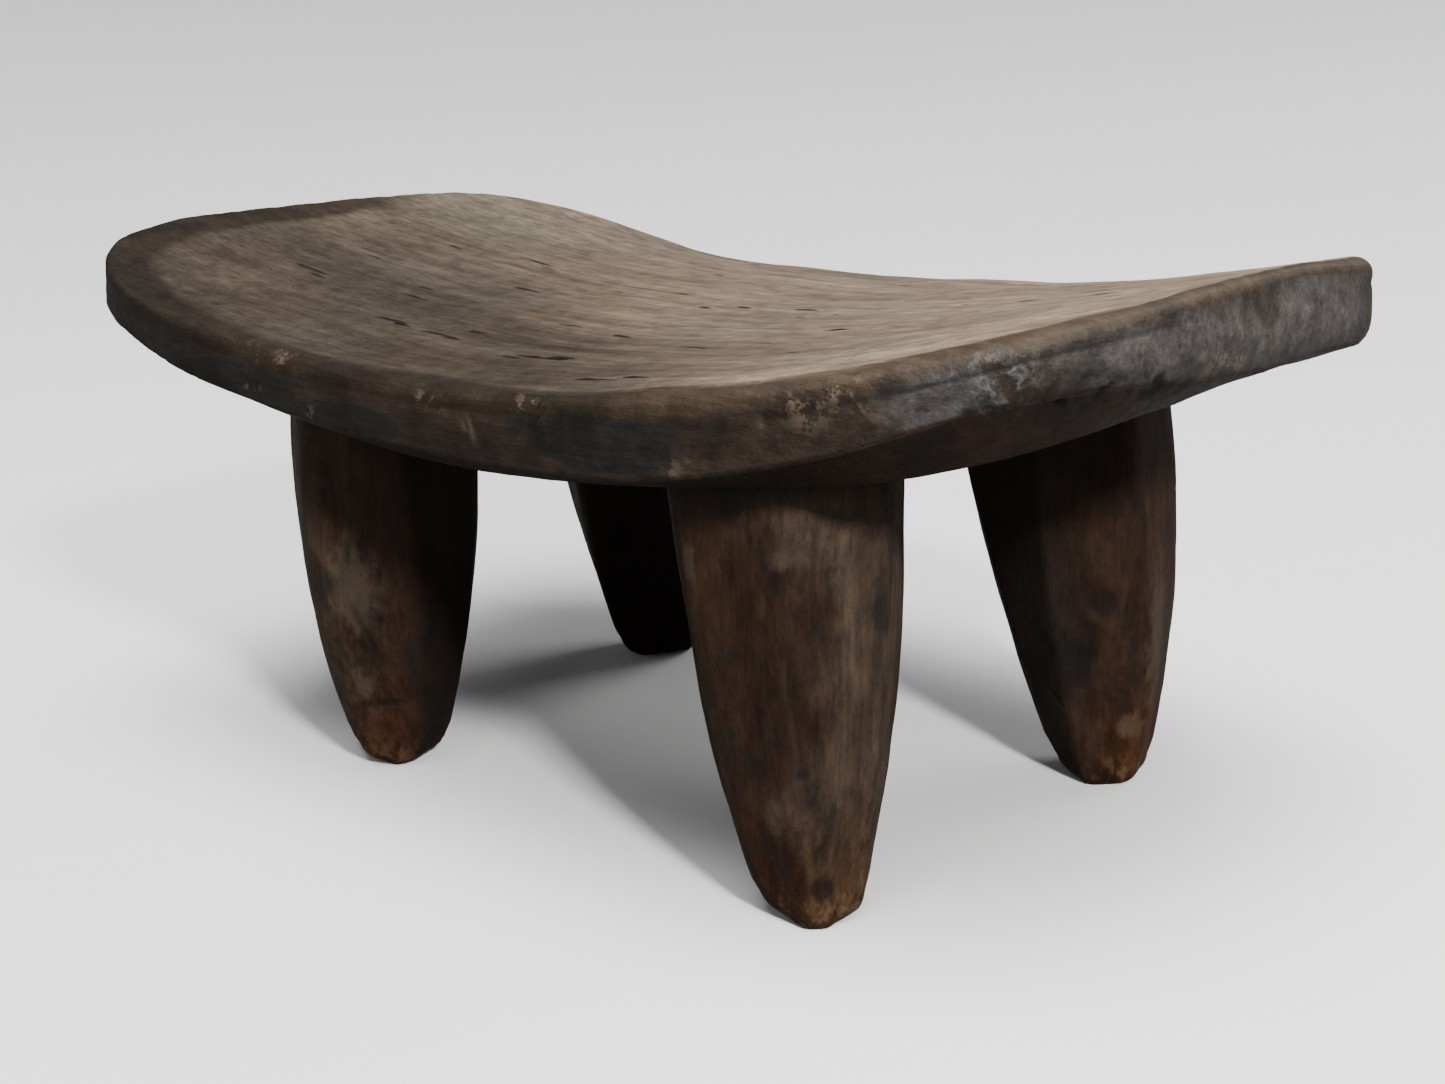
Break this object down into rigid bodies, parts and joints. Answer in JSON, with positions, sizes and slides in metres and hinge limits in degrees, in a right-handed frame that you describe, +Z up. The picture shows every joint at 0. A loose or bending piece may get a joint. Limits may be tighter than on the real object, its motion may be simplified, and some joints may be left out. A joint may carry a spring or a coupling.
{
  "type": "carved wooden stool",
  "caption": "Low carved wooden stool with a saddle-shaped seat, worn rounded rim and bulging tapered legs that end in small flat feet.",
  "frame": {"origin": "on the floor, under the middle of the seat's length and width", "axes": "+X along the seat, from its left end to its right end; +Y across the seat, from front to rear; +Z up"},
  "size_m": [0.54, 0.33, 0.2437],
  "materials": {
    "seat_wood": "hand-adzed hardwood with a dark satin patina, paler and worn along the rim",
    "leg_wood": "knife-cut hardwood with a dark brown patina and worn feet"
  },
  "bodies": {
    "root": {"seat": "seat_wood", "leg_front_left": "leg_wood", "leg_front_right": "leg_wood", "leg_rear_right": "leg_wood", "leg_rear_left": "leg_wood"}
  },
  "joints": []
}
